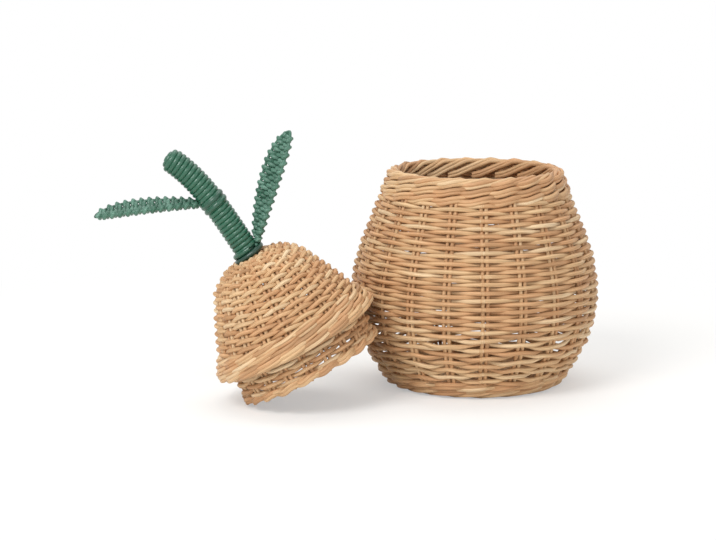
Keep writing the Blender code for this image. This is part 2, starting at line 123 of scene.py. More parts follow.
class BasketSizes(bpy.types.PropertyGroup):
    """Shape of the basket's wall, as in the solids."""
    cane: size("Cane", 0.0030, "Thickness of the stakes and of the canes in the base")
    weaver: size("Weaver", 0.0033, "Thickness of the cane that is woven round and round")
    depth: size("Depth", 0.0021, "How far a weaver swings out before a pair, and in behind it")
    pair_spacing: size("Pair spacing", 0.0036, "From one cane of a pair of stakes to the other")
    stakes: IntProperty(name="Stake pairs", default=20, description="Pairs round the basket")
    row_pitch: size("Row pitch", 0.00290, "From one row of the weave to the next")
    loose_pitch: size("Loose pitch", 0.00360, "The same where the weave is looser, near the foot")
    loose_low: size("Loose from", 0.0130, "Height at which the looser rows begin")
    loose_high: size("Loose to", 0.0500, "Height at which the looser rows end")
    belly_radius: size("Belly radius", 0.0950, "Outside of the wall at its widest")
    belly_height: size("Belly height", 0.0685, "Height of the widest place")
    mouth_radius: size("Mouth radius", 0.0680, "Outside of the wall level with the rim")
    mouth_height: size("Mouth height", 0.1570, "Height at which the mouth radius holds")
    mouth_flare: number("Mouth flare", 1.36, "Slope at the mouth against the mean slope")
    foot_radius: size("Foot radius", 0.0650, "Outside of the wall on the floor")
    foot_flare: number("Foot flare", 2.03, "Slope at the foot against the mean slope")
    foot_height: size("Foot height", 0.0090, "Height of the foot border")
    rim_top: size("Rim top", 0.1635, "Top of the rim border")
    rim_depth: size("Rim depth", 0.0064, "Depth of the rim border")
    droop: size("Droop", 0.0017, "How far a row sags between two stakes near the foot")
    turn: tilt("Turn", -87.8, "Direction of the first pair of stakes")


class LidSizes(bpy.types.PropertyGroup):
    """Shape of the lid. Heights count from the lower edge of the crown."""
    crown_radius: size("Crown radius", 0.0632, "Outside of the crown at its lower edge")
    crown_height: size("Crown height", 0.0740, "Height of the curve that the crown follows")
    crown_power: number("Crown power", 2.7, "A cone would have 1, a drum a very large one")
    seat_radius: size("Seat radius", 0.0190, "Flat top that carries the stem")
    edge_height: size("Edge height", 0.0100, "Edge border above the lower edge")
    edge_drop: size("Edge drop", 0.0018, "Edge border below the lower edge")
    neck_radius: size("Neck radius", 0.0559, "Outside of the neck")
    neck_height: size("Neck height", 0.0255, "From the lower edge to the foot of the neck")
    neck_border: size("Neck border", 0.0065, "Height of the border at the foot of the neck")
    turn: tilt("Turn", -86.3, "Direction of the first pair of stakes")
    shoulder: size("Shoulder", 0.0026, "How far the hand-made crown stands out near its top")


class StemSizes(bpy.types.PropertyGroup):
    """Shape of the wound stem. Heights count from the top of the crown."""
    height: size("Height", 0.0948, "From the top of the crown to the tip, along the stem")
    lean: number("Lean", 0.09, "Sideways against height")
    hook: size("Hook", 0.0125, "Further sideways at the tip")
    radius: size("Radius", 0.0094, "Outside of the windings")
    cane: size("Cane", 0.0039, "Width of the cane that is wound")
    pitch: size("Pitch", 0.00335, "From one turn to the next")
    collar_radius: size("Collar radius", 0.0132, "Outside of the two thick turns at the foot")


class LeafSizes(bpy.types.PropertyGroup):
    """Shape of the two leaves."""
    cane: size("Cane", 0.0022, "Thickness of the frame and of the midrib")
    weaver: size("Weaver", 0.0034, "Thickness of the cane woven across")
    width: size("Width", 0.0210, "From one frame cane to the other, at the widest")
    row_pitch: size("Row pitch", 0.00290, "From one row to the next")
    trough: tilt("Trough", 15, "Rise of each half from the midrib")
    left_length: size("Left length", 0.0780, "Length of the left leaf")
    left_rise: tilt("Left rise", 21.2, "Rise of the left leaf, square to the stem")
    left_roll: tilt("Left roll", 13, "Roll of the left leaf about its midrib")
    left_arch: size("Left arch", 0.0012, "How far the middle of the left leaf bows")
    right_length: size("Right length", 0.0810, "Length of the right leaf")
    right_rise: tilt("Right rise", 45.0, "Rise of the right leaf, square to the stem")
    right_roll: tilt("Right roll", 36, "Roll of the right leaf about its midrib")
    right_arch: size("Right arch", 0.0018, "How far the middle of the right leaf bows")


class CaneColours(bpy.types.PropertyGroup):
    """Colours of the bare and of the dyed cane."""
    pale: colour("Pale cane", "EFD6B0", "Lightest strands of bare cane")
    middle: colour("Middling cane", "DFBB8E", "Most strands of bare cane")
    warm: colour("Warm cane", "D2A276", "Reddish strands of bare cane")
    dark: colour("Dark cane", "AC8560", "Darkest strands of bare cane")
    green: colour("Green", "2A6049", "Dyed cane of the windings and of the leaves")
    green_pale: colour("Pale green", "709C89", "Where the dye took badly")
    green_dark: colour("Dark green", "143A2C", "Where the dye is thickest")


class StageSettings(bpy.types.PropertyGroup):
    """Camera, lamps and floor."""
    lens: number("Lens", 117.5, "Focal length in millimetres")
    camera_shift: FloatVectorProperty(name="Camera", default=(-0.0885, -1.750, 0.3888),
                                      subtype="TRANSLATION",
                                      description="Camera, from the foot of the basket's axis")
    camera_pitch: tilt("Pitch", 9.83, "How far the camera looks down")
    key_power: number("Key lamp", 20.0, "Watts")
    fill_power: number("Fill lamp", 3.5, "Watts")
    top_power: number("Top lamp", 8.0, "Watts")
    ambient: number("Ambient", 0.62, "Strength of the world")


SETTINGS = {"basket_sizes": BasketSizes, "lid_sizes": LidSizes, "stem_sizes": StemSizes,
            "leaf_sizes": LeafSizes, "cane_colours": CaneColours, "stage_settings": StageSettings}


def axis_point(node):
    """Middle of a turned CAD node, which is on its axis."""
    corners = frame["nodes"][node].data.vertices
    return sum((corner.co for corner in corners), Vector()) / len(corners)


def basket_place(turn=0.0):
    """From the basket's own axes, which stand on the floor, to the part's."""
    middle = axis_point("foot_border")
    return Matrix.Translation((middle.x, middle.y, 0)) @ Matrix.Rotation(turn, 4, "Z")


def lid_place(turn=0.0):
    """From the lid's own axes, at the lower edge of its crown, to the part's."""
    sizes = bpy.context.scene.lid_sizes
    up = Vector(frame["joints"][0]["axis"]).normalized()
    deep = Vector((0, 1, 0))
    across = deep.cross(up)
    middle = axis_point("edge_border")
    corners = frame["nodes"]["edge_border"].data.vertices
    lowest = min((corner.co - middle).dot(up) for corner in corners)
    origin = middle + up * (lowest + sizes.edge_drop)
    axes = Matrix((across, deep, up)).transposed().to_4x4()
    return Matrix.Translation(origin) @ axes @ Matrix.Rotation(turn, 4, "Z")


PLACES = {"basket": basket_place, "lid": lid_place}


def eased(share, end_slope):
    """Runs from 0 to 1, level at the start and with the given slope at the end."""
    square = share * share
    return square * (3 - 2 * share) + end_slope * square * (share - 1)


def wall_radius(height):
    """Outside of the basket's wall."""
    s = bpy.context.scene.basket_sizes
    if height > s.belly_height:
        share = (height - s.belly_height) / (s.mouth_height - s.belly_height)
        return s.belly_radius - (s.belly_radius - s.mouth_radius) * eased(share, s.mouth_flare)
    share = (s.belly_height - height) / s.belly_height
    return s.belly_radius - (s.belly_radius - s.foot_radius) * eased(share, s.foot_flare)


def crown_radius(height):
    """Outside of the lid's crown."""
    s = bpy.context.scene.lid_sizes
    return s.crown_radius * max(1 - height / s.crown_height, 0) ** (1 / s.crown_power)


def crown_top():
    """Height of the flat top that carries the stem."""
    s = bpy.context.scene.lid_sizes
    return s.crown_height * (1 - (s.seat_radius / s.crown_radius) ** s.crown_power)


def weave_bed():
    """From the outside of a woven wall to the middle of its stakes."""
    s = bpy.context.scene.basket_sizes
    return s.depth + s.weaver / 2 + SLACK


def inward(line, depth):
    """A rising line of radius and height, moved inwards square to itself."""
    moved = []
    for index, (radius, height) in enumerate(line):
        r0, z0 = line[max(index - 1, 0)]
        r1, z1 = line[min(index + 1, len(line) - 1)]
        length = math.hypot(r1 - r0, z1 - z0)
        moved.append((radius - depth * (z1 - z0) / length, height + depth * (r1 - r0) / length))
    return moved


def stem_middle(height):
    """Middle of the stem in the lid's axes, at a height above the top of the crown."""
    s = bpy.context.scene.stem_sizes
    hook = s.hook * (max(height, 0) / 0.094) ** 4
    return Vector((-s.lean * height - hook, 0, crown_top() + height))


def add(tree, kind, links=None, **settings):
    """Adds a node with its settings.

    Links give each input a value, another node's output, or a node whose first output it takes.
    """
    node = tree.nodes.new(kind)
    for name, value in settings.items():
        setattr(node, name, value)
    for key, value in (links or {}).items():
        if isinstance(value, bpy.types.Node):
            value = value.outputs[0]
        if isinstance(value, bpy.types.NodeSocket):
            tree.links.new(value, node.inputs[key])
        else:
            node.inputs[key].default_value = value
    return node


def start_tree(name, inputs):
    """New tree of geometry nodes with named inputs. Returns it and its input sockets by name."""
    tree = bpy.data.node_groups.new(name, "GeometryNodeTree")
    tree.interface.new_socket("Geometry", in_out="OUTPUT", socket_type="NodeSocketGeometry")
    tree.interface.new_socket("Lines", in_out="INPUT", socket_type="NodeSocketGeometry")
    for label, kind, value in inputs:
        socket = tree.interface.new_socket(label, in_out="INPUT", socket_type="NodeSocket" + kind)
        if value is not None:
            socket.default_value = value
    entry = tree.nodes.new("NodeGroupInput")
    return tree, entry.outputs


def end_tree(tree, given, geometry):
    """Last steps of every tree, which leave real geometry with its finish."""
    real = add(tree, "GeometryNodeRealizeInstances", {"Geometry": geometry})
    dressed = add(tree, "GeometryNodeSetMaterial", {"Geometry": real, "Material": given["Finish"]})
    add(tree, "NodeGroupOutput", {"Geometry": dressed})
    return tree


SKIN_INPUTS = [("Cane", "Float", 0.003), ("Sides", "Int", 8), ("Unevenness", "Float", 0.08),
               ("Seed", "Float", 0.0), ("Finish", "Material", None)]


def skin_tree():
    """Gives lines the round skin of a cane, and marks on it what the finish follows."""
    tree, given = start_tree("cane_skin", SKIN_INPUTS)
    strand = add(tree, "ShaderNodeMath",
                 {0: add(tree, "GeometryNodeInputIndex"), 1: given["Seed"]})
    numbered = add(tree, "GeometryNodeStoreNamedAttribute",
                   {"Geometry": given["Lines"], "Name": "strand", "Value": strand},
                   domain="CURVE")
    length = add(tree, "GeometryNodeSplineParameter").outputs["Length"]
    along = add(tree, "GeometryNodeStoreNamedAttribute",
                {"Geometry": numbered, "Name": "along", "Value": length})
    wander = add(tree, "ShaderNodeTexNoise", {"W": strand, "Scale": 55.0, "Detail": 1.0},
                 noise_dimensions="4D")
    least, most = (add(tree, "ShaderNodeMath", {0: 1.0, 1: given["Unevenness"]}, operation=way)
                   for way in ("SUBTRACT", "ADD"))
    swell = add(tree, "ShaderNodeMapRange", {"Value": wander, "From Min": 0.3, "From Max": 0.7,
                                             "To Min": least, "To Max": most})
    thick = add(tree, "GeometryNodeInputNamedAttribute", {"Name": "thick"})
    radius = add(tree, "ShaderNodeMath", {0: swell, 1: thick}, operation="MULTIPLY")
    shaped = add(tree, "GeometryNodeSetCurveRadius", {"Curve": along, "Radius": radius})
    half = add(tree, "ShaderNodeMath", {0: given["Cane"], 1: 0.5}, operation="MULTIPLY")
    ring = add(tree, "GeometryNodeCurvePrimitiveCircle",
               {"Resolution": given["Sides"], "Radius": half})
    side = add(tree, "ShaderNodeVectorMath", {0: add(tree, "GeometryNodeInputPosition")},
               operation="NORMALIZE")
    marked = add(tree, "GeometryNodeStoreNamedAttribute",
                 {"Geometry": ring, "Name": "fibre", "Value": side},
                 data_type="FLOAT_VECTOR")
    skin = add(tree, "GeometryNodeCurveToMesh",
               {"Curve": shaped, "Profile Curve": marked, "Fill Caps": True})
    return end_tree(tree, given, add(tree, "GeometryNodeSetShadeSmooth", {"Geometry": skin}))


def end_with_skin(tree, given, lines, skin):
    """Sends lines through the cane skin, as the last steps of a tree."""
    links = {label: given[label] for label, _, _ in SKIN_INPUTS}
    covered = add(tree, "GeometryNodeGroup", {"Lines": lines, **links}, node_tree=skin)
    return end_tree(tree, given, covered)


def strayed(tree, thread, scale, much):
    """How far hand work strays: smoothly along a thread, and otherwise on each of them."""
    wander = add(tree, "ShaderNodeTexNoise",
                 {"Vector": add(tree, "GeometryNodeInputPosition"), "W": thread, "Scale": scale,
                  "Detail": 1.0}, noise_dimensions="4D")
    centred = add(tree, "ShaderNodeVectorMath", {0: wander.outputs["Color"], 1: (0.5, 0.5, 0.5)},
                  operation="SUBTRACT")
    return add(tree, "ShaderNodeVectorMath", {0: centred, "Scale": much}, operation="SCALE")


def cane_tree(skin):
    """A cane along each given line."""
    tree, given = start_tree("canes_along_lines", SKIN_INPUTS)
    curve = add(tree, "GeometryNodeMeshToCurve", {"Mesh": given["Lines"]})
    return end_with_skin(tree, given, curve, skin)


def row_tree(skin):
    """Rows of weave round an axis, one for each corner of the given line.

    A row passes before one pair of stakes and behind the next, and the row above it does the
    opposite. The line's own attributes say how far each row swings, sags and strays.
    """
    tree, given = start_tree("woven_rows", [
        ("Pairs", "Int", 20), ("Steps", "Int", 160), ("Depth", "Float", 0.002),
        ("Jitter", "Float", 0.0003)] + SKIN_INPUTS)
    way = add(tree, "ShaderNodeSeparateXYZ", {0: add(tree, "GeometryNodeInputTangent")})
    back = add(tree, "ShaderNodeMath", {0: way.outputs["X"], 1: -1.0}, operation="MULTIPLY")
    out = add(tree, "ShaderNodeCombineXYZ", {"X": way.outputs["Z"], "Z": back})
    place = add(tree, "ShaderNodeSeparateXYZ", {0: add(tree, "GeometryNodeInputPosition")})
    index = add(tree, "GeometryNodeInputIndex")
    line = add(tree, "GeometryNodeMeshToCurve", {"Mesh": given["Lines"]})
    for label, kind, value in (("out", "FLOAT_VECTOR", out), ("row", "FLOAT", index),
                               ("reach", "FLOAT", place.outputs["X"])):
        line = add(tree, "GeometryNodeStoreNamedAttribute",
                   {"Geometry": line, "Name": label, "Value": value},
                   data_type=kind)
    level = add(tree, "ShaderNodeCombineXYZ", {"Z": place.outputs["Z"]})
    stacked = add(tree, "GeometryNodeSetPosition", {"Geometry": line, "Position": level})
    points = add(tree, "GeometryNodeCurveToPoints", {"Curve": stacked}, mode="EVALUATED")
    ring = add(tree, "GeometryNodeCurvePrimitiveCircle",
               {"Resolution": given["Steps"], "Radius": 1.0})
    reach, row, swing, sag, loose = (
        add(tree, "GeometryNodeInputNamedAttribute", {"Name": label})
        for label in ("reach", "row", "swing", "sag", "stray"))
    wide = add(tree, "ShaderNodeCombineXYZ", {"X": reach, "Y": reach, "Z": 1.0})
    rings = add(tree, "GeometryNodeInstanceOnPoints",
                {"Points": points, "Instance": ring, "Scale": wide})
    real = add(tree, "GeometryNodeRealizeInstances", {"Geometry": rings})

    apart = add(tree, "ShaderNodeSeparateXYZ", {0: add(tree, "GeometryNodeInputPosition")})
    angle = add(tree, "ShaderNodeMath", {0: apart.outputs["Y"], 1: apart.outputs["X"]},
                operation="ARCTAN2")
    turned = add(tree, "ShaderNodeMath", {0: row, 1: math.pi}, operation="MULTIPLY")
    half_pairs = add(tree, "ShaderNodeMath", {0: given["Pairs"], 1: 0.5}, operation="MULTIPLY")
    beat = add(tree, "ShaderNodeMath", {0: angle, 1: half_pairs, 2: turned},
               operation="MULTIPLY_ADD")
    wave = add(tree, "ShaderNodeMath", {0: beat}, operation="COSINE")
    swung = add(tree, "ShaderNodeMath", {0: wave, 1: swing}, operation="MULTIPLY")
    push = add(tree, "ShaderNodeMath", {0: swung, 1: given["Depth"]}, operation="MULTIPLY")
    facing = add(tree, "GeometryNodeInputNamedAttribute", {"Name": "out"},
                 data_type="FLOAT_VECTOR")
    outwards = add(tree, "ShaderNodeVectorRotate", {"Vector": facing, "Angle": angle},
                   rotation_type="Z_AXIS")
    bent = add(tree, "ShaderNodeVectorMath", {0: outwards, "Scale": push}, operation="SCALE")
    spans = add(tree, "ShaderNodeMath", {0: angle, 1: given["Pairs"]}, operation="MULTIPLY")
    span = add(tree, "ShaderNodeMath", {0: spans}, operation="COSINE")
    low = add(tree, "ShaderNodeMath", {0: sag, 1: -1.0}, operation="MULTIPLY")
    drop = add(tree, "ShaderNodeMapRange", {"Value": span, "From Min": -1.0, "From Max": 1.0,
                                            "To Min": low, "To Max": 0.0})
    down = add(tree, "ShaderNodeCombineXYZ", {"Z": drop})
    much = add(tree, "ShaderNodeMath", {0: given["Jitter"], 1: loose}, operation="MULTIPLY")
    moved = bent
    for part in (down, strayed(tree, row, 34.0, much)):
        moved = add(tree, "ShaderNodeVectorMath", {0: moved, 1: part})
    woven = add(tree, "GeometryNodeSetPosition", {"Geometry": real, "Offset": moved})
    return end_with_skin(tree, given, woven, skin)


def round_tree(skin):
    """Copies of the given lines round an axis, each copy a little different from the next."""
    tree, given = start_tree("canes_round_axis", [
        ("Copies", "Int", 20), ("Steps", "Int", 28), ("Jitter", "Float", 0.0003)] + SKIN_INPUTS)
    curve = add(tree, "GeometryNodeMeshToCurve", {"Mesh": given["Lines"]})
    bent = add(tree, "GeometryNodeCurveSplineType", {"Curve": curve}, spline_type="CATMULL_ROM")
    line = add(tree, "GeometryNodeResampleCurve", {"Curve": bent, "Count": given["Steps"]})
    index = add(tree, "GeometryNodeInputIndex")
    step = add(tree, "ShaderNodeMath", {0: 2 * math.pi, 1: given["Copies"]}, operation="DIVIDE")
    angle = add(tree, "ShaderNodeMath", {0: index, 1: step}, operation="MULTIPLY")
    spin = add(tree, "ShaderNodeCombineXYZ", {"Z": angle})
    points = add(tree, "GeometryNodePoints", {"Count": given["Copies"]})
    counted = add(tree, "GeometryNodeStoreNamedAttribute",
                  {"Geometry": points, "Name": "copy", "Value": index})
    copies = add(tree, "GeometryNodeInstanceOnPoints",
                 {"Points": counted, "Instance": line, "Rotation": spin})
    real = add(tree, "GeometryNodeRealizeInstances", {"Geometry": copies})
    copy = add(tree, "GeometryNodeInputNamedAttribute", {"Name": "copy"})
    own = add(tree, "ShaderNodeMath", {0: copy, 1: given["Seed"]})
    placed = add(tree, "GeometryNodeSetPosition",
                 {"Geometry": real, "Offset": strayed(tree, own, 32.0, given["Jitter"])})
    return end_with_skin(tree, given, placed, skin)


def winding_tree(skin):
    """One cane wound round a middle line.

    The first given line is the middle, the second the outline: its x is the distance from the
    middle, and its z the length along it. Each turn moves one pitch along the outline.
    """
    tree, given = start_tree("winding", [
        ("Pitch", "Float", 0.003), ("Steps", "Int", 20), ("Reach", "Float", 0.1)] + SKIN_INPUTS)
    curves = add(tree, "GeometryNodeMeshToCurve", {"Mesh": given["Lines"]})
    turns = add(tree, "ShaderNodeMath", {0: given["Reach"], 1: given["Pitch"]}, operation="DIVIDE")
    steps = add(tree, "ShaderNodeMath", {0: turns, 1: given["Steps"]}, operation="MULTIPLY")
    cane = add(tree, "GeometryNodeResampleCurve",
               {"Curve": add(tree, "GeometryNodeCurvePrimitiveLine"), "Count": steps})
    index = add(tree, "GeometryNodeInputIndex")
    turn = add(tree, "ShaderNodeMath", {0: index, 1: given["Steps"]}, operation="DIVIDE")
    gone = add(tree, "ShaderNodeMath", {0: turn, 1: given["Pitch"]}, operation="MULTIPLY")
    outline = add(tree, "GeometryNodeSampleCurve",
                  {"Curves": curves, "Length": gone, "Curve Index": 1}, mode="LENGTH")
    here = add(tree, "ShaderNodeSeparateXYZ", {0: outline.outputs["Position"]})
    middle = add(tree, "GeometryNodeSampleCurve",
                 {"Curves": curves, "Length": here.outputs["Z"], "Curve Index": 0}, mode="LENGTH")
    angle = add(tree, "ShaderNodeMath", {0: turn, 1: 2 * math.pi}, operation="MULTIPLY")
    arm = add(tree, "ShaderNodeVectorRotate",
              {"Vector": middle.outputs["Normal"], "Axis": middle.outputs["Tangent"],
               "Angle": angle})
    reach = add(tree, "ShaderNodeVectorMath", {0: arm, "Scale": here.outputs["X"]},
                operation="SCALE")
    spot = add(tree, "ShaderNodeVectorMath", {0: middle.outputs["Position"], 1: reach})
    wound = add(tree, "GeometryNodeSetPosition", {"Geometry": cane, "Position": spot})
    full = add(tree, "GeometryNodeStoreNamedAttribute",
               {"Geometry": wound, "Name": "thick", "Value": 1.0})
    return end_with_skin(tree, given, full, skin)


def make_trees():
    """Builds each tree once."""
    if "cane_skin" not in bpy.data.node_groups:
        skin = skin_tree()
        for build in (cane_tree, row_tree, round_tree, winding_tree):
            build(skin)


MARKS = {"thick": 1.0, "swing": 1.0, "stray": 1.0, "sag": 0.0}


def guide_mesh(name, lines):
    """Lines as a mesh of edges. A corner is x, y, z, and may add the values named in MARKS."""
    corners, edges = [], []
    for line in lines:
        first = len(corners)
        edges += [(first + k, first + k + 1) for k in range(len(line) - 1)]
        corners += [tuple(corner) for corner in line]
    mesh = bpy.data.meshes.new(name)
    mesh.from_pydata([corner[:3] for corner in corners], edges, [])
    for place, (label, usual) in enumerate(MARKS.items(), start=3):
        values = [corner[place] if len(corner) > place else usual for corner in corners]
        mesh.attributes.new(label, "FLOAT", "POINT").data.foreach_set("value", values)
    return mesh


def grown(name, lines, tree_name, material, settings, body, turn, stands_for):
    """A piece grown by a tree from plain lines, left as a plain mesh in its place."""
    make_trees()
    tree = bpy.data.node_groups[tree_name]
    pairs = bpy.context.scene.basket_sizes.stakes
    settings = {"Finish": finish(material), "Pairs": pairs, "Copies": pairs, **settings}
    guide = bpy.data.objects.new(name + "_guide", guide_mesh(name + "_guide", lines))
    bpy.context.scene.collection.objects.link(guide)
    growth = guide.modifiers.new("growth", "NODES")
    growth.node_group = tree
    for socket in tree.interface.items_tree:
        if socket.in_out == "INPUT" and socket.name in settings:
            growth[socket.identifier] = settings[socket.name]
    graph = bpy.context.evaluated_depsgraph_get()
    mesh = bpy.data.meshes.new_from_object(guide.evaluated_get(graph),
                                           preserve_all_data_layers=True, depsgraph=graph)
    lines_mesh = guide.data
    bpy.data.objects.remove(guide)
    bpy.data.meshes.remove(lines_mesh)
    if not mesh.polygons:
        raise RuntimeError(f"{name} came out empty")
    mesh.name = name
    mesh.transform(PLACES[body](turn))
    made = bpy.data.objects.new(name, mesh)
    bpy.context.scene.collection.objects.link(made)
    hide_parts(*stands_for)
    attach(made, body)
    return made


def shader_start(name):
    """New material. Returns it, its tree and the shader."""
    made = bpy.data.materials.new(name)
    made.use_nodes = True
    tree = made.node_tree
    return made, tree, tree.nodes["Principled BSDF"]


def cane_material(name, tones, fibre_share, roughness, gloss, fibre_code):
    """Round cane, whose long fibres run along it.

    tones are linear colours with their places from 0 to 1. Every strand has a tone of its own,
    which wanders over a hand's width, and fine darker fibres half a millimetre wide run along it.
    """
    made, tree, shader = shader_start(name)
    strand, along = (add(tree, "ShaderNodeAttribute", attribute_name=label).outputs["Fac"]
                     for label in ("strand", "along"))
    side = add(tree, "ShaderNodeAttribute", attribute_name="fibre").outputs["Vector"]
    own = add(tree, "ShaderNodeTexWhiteNoise", {"W": strand}, noise_dimensions="1D")
    way = add(tree, "ShaderNodeCombineXYZ", {"X": along})
    shift = add(tree, "ShaderNodeMath", {0: strand, 1: 7.31}, operation="MULTIPLY")
    slow = add(tree, "ShaderNodeTexNoise",
               {"Vector": way, "W": shift, "Scale": 14.0, "Detail": 2.0}, noise_dimensions="4D")
    spread = add(tree, "ShaderNodeMapRange", {"Value": slow, "From Min": 0.3, "From Max": 0.7})
    tone = add(tree, "ShaderNodeMix", {"Factor": 0.42, "A": spread, "B": own})
    ramp = add(tree, "ShaderNodeValToRGB", {"Fac": tone})
    stops = ramp.color_ramp.elements
    while len(stops) < len(tones):
        stops.new(0.5)
    for stop, (place, value) in zip(stops, tones):
        stop.position = place
        stop.color = (*value, 1)
    # The fibres are about 0.4 mm wide on a 3 mm cane, and run on for some 25 mm.
    round_cane = add(tree, "ShaderNodeVectorMath", {0: side, "Scale": 3.6}, operation="SCALE")
    ahead = add(tree, "ShaderNodeMath", {0: along, 1: 40.0}, operation="MULTIPLY")
    forward = add(tree, "ShaderNodeCombineXYZ", {"Z": ahead})
    grain_way = add(tree, "ShaderNodeVectorMath", {0: round_cane, 1: forward})
    grain = add(tree, "ShaderNodeTexNoise",
                {"Vector": grain_way, "W": shift, "Scale": 1.0, "Detail": 3.0, "Roughness": 0.6},
                noise_dimensions="4D")
    depth = add(tree, "ShaderNodeMapRange", {"Value": grain, "From Min": 0.62, "From Max": 0.42,
                                             "To Min": 0.0, "To Max": fibre_share})
    streaked = add(tree, "ShaderNodeMix", {"Factor": depth, "A": ramp,
                                           "B": (*linear(fibre_code), 1)}, data_type="RGBA")
    rough = add(tree, "ShaderNodeMapRange",
                {"Value": grain, "From Min": 0.3, "From Max": 0.7,
                 "To Min": roughness + 0.08, "To Max": roughness - 0.08})
    bump = add(tree, "ShaderNodeBump", {"Strength": 0.5, "Distance": 0.0004, "Height": grain})
    shader.inputs["Specular IOR Level"].default_value = gloss
    for label, source in (("Base Color", streaked.outputs["Result"]),
                          ("Roughness", rough.outputs[0]), ("Normal", bump.outputs[0])):
        tree.links.new(source, shader.inputs[label])
    return made


def finish(name):
    """The finishes of the basket, each made once."""
    if name in bpy.data.materials:
        return bpy.data.materials[name]
    c = bpy.context.scene.cane_colours
    natural = [(0.12, c.dark), (0.36, c.warm), (0.6, c.middle), (0.88, c.pale)]
    # Tones of the borders and stakes, shifted darker than the natural ones as painted shade.
    shade_darkened_tones = [(0.18, c.dark), (0.42, c.warm), (0.66, c.middle), (0.95, c.pale)]
    dyed = [(0.15, c.green_dark), (0.55, c.green), (1.0, c.green)]
    worn = [(0.15, c.green_dark), (0.5, c.green), (0.9, c.green_pale)]
    kinds = {
        # Pith of rattan, drawn round and left bare: dull, fibrous, no two strands alike.
        "bare_rattan_core": (natural, 0.45, 0.58, 0.35, FIBRE_CODE),
        # The same cane where it is bent in borders and stakes: a little smoother, and darker by
        # painted shade that stands in for the shade falling on the borders.
        "border_rattan_core": (shade_darkened_tones, 0.4, 0.55, 0.38, FIBRE_CODE),
        # Rattan core dyed in a bath, which leaves a satin skin on it.
        "dyed_rattan_core": (dyed, 0.2, 0.3, 0.55, DYED_FIBRE_CODE),
        # The same in the leaves, where the dye took badly on the bends and wore off.
        "worn_dyed_rattan_core": (worn, 0.35, 0.4, 0.5, DYED_FIBRE_CODE),
    }
    return cane_material(name, *kinds[name])


def rows_up(outline, pitches):
    """Corners for rows of weave up an outline that runs from the foot to the top.

    pitches gives for a place the pitch there, the thickness, the swing, the stray and the sag.
    """
    corners, gone, wanted = [], 0.0, 0.0
    for (r0, z0), (r1, z1) in zip(outline, outline[1:]):
        length = math.dist((r0, z0), (r1, z1))
        while wanted <= gone + length:
            share = (wanted - gone) / length
            radius, height = r0 + (r1 - r0) * share, z0 + (z1 - z0) * share
            pitch, thick, swing, stray, sag = pitches(radius, height)
            corners.append((radius, 0, height, thick, swing, stray, sag))
            wanted += pitch
        gone += length
    return corners


def stake_pairs(name, line, steps, seed, body, turn, solids):
    """Pairs of stakes side by side round an axis, from a line in a plane of that axis."""
    s = bpy.context.scene.basket_sizes
    pair = [[(r, side * s.pair_spacing / 2, z) + tuple(rest) for r, _, z, *rest in line]
            for side in (-1, 1)]
    grown(name, pair, "canes_round_axis", "border_rattan_core",
          {"Steps": steps, "Jitter": 0.0008, "Cane": s.cane, "Unevenness": 0.05, "Seed": seed},
          body, turn, [f"{solids}_{k:02d}" for k in range(1, s.stakes + 1)])


def plaited(path, pairs, swing, apart, bob):
    """The two canes of one strand of a border.

    Each point of the path gives how many spacings of the stakes the strand has gone on, its
    radius, its height, how much it swings there, and how far the pair is turned over: at 0 one
    cane lies above the other, at 1 above has become inward, and at 2 downward. The strand
    comes out from behind its neighbours and goes in again once in two spacings, and bob is how
    far it hangs down between one pair of stakes and the next.
    """
    lines = []
    for side in (-1, 1):
        line = []
        for first, second in zip(path, path[1:]):
            for k in range(8):
                gone, radius, height, much, over = (
                    a + (b - a) * k / 8 for a, b in zip(first, second))
                out = swing * much * math.cos(math.pi * (gone - 0.8))
                turn = math.pi / 2 * over
                height -= bob * min(much, 1) * (1 - math.cos(2 * math.pi * gone)) / 2
                radius += out - side * apart / 2 * math.sin(turn)
                height += side * apart / 2 * math.cos(turn)
                angle = 2 * math.pi * gone / pairs
                line.append((radius * math.cos(angle), radius * math.sin(angle), height))
        lines.append(line)
    return lines


def border(name, path):
    """A plaited border, with one strand of two canes for each pair of stakes."""
    swing, apart, bob, cane, steps, jitter, uneven, seed, body, solid = PLAITS[name]
    scene = bpy.context.scene
    turn = {"basket": scene.basket_sizes, "lid": scene.lid_sizes}[body].turn
    lines = plaited(path, scene.basket_sizes.stakes, swing, apart, bob)
    grown(name, lines, "canes_round_axis", "border_rattan_core",
          {"Steps": steps, "Jitter": jitter, "Cane": cane, "Unevenness": uneven, "Seed": seed},
          body, turn, [solid])


class BASKET_OT_wall(bpy.types.Operator):
    """Weaves the rows of the wall round the stakes"""
    bl_idname = "basket.wall"
    bl_label = "Wall"

    def execute(self, context):
        s = context.scene.basket_sizes
        low, high = s.foot_height - s.cane * 0.1, s.rim_top - s.cane * 5.2
        heights = [low + (high - low) * k / 48 for k in range(49)]
        line = inward([(wall_radius(z), z) for z in heights], weave_bed())

        def pitches(radius, height):
            sag = s.droop * max(0.0, 1 - abs(height - SAG_HEIGHT) / SAG_REACH)
            if s.loose_low < height < s.loose_high:
                return s.loose_pitch, LOOSE_THICK, 1.0, LOOSE_STRAY, sag
            return s.row_pitch, 1.0, 1.0, 1.0, sag

        grown("wall_rows", [rows_up(line, pitches)], "woven_rows", "bare_rattan_core",
              {"Steps": s.stakes * 8, "Depth": s.depth, "Jitter": 0.0022, "Cane": s.weaver,
               "Seed": 3.0}, "basket", s.turn, ["wall_weave"])
        base_height = s.foot_height + s.cane * 0.6
        stakes = [(STAKE_START, 0, base_height + 0.0012), (line[0][0] - 0.010, 0, base_height)]
        stakes += [(r, 0, z) for r, z in line[::3]]
        stake_pairs("wall_stakes", stakes, 44, 200.0, "basket", s.turn, "stake_pair")
        return {"FINISHED"}


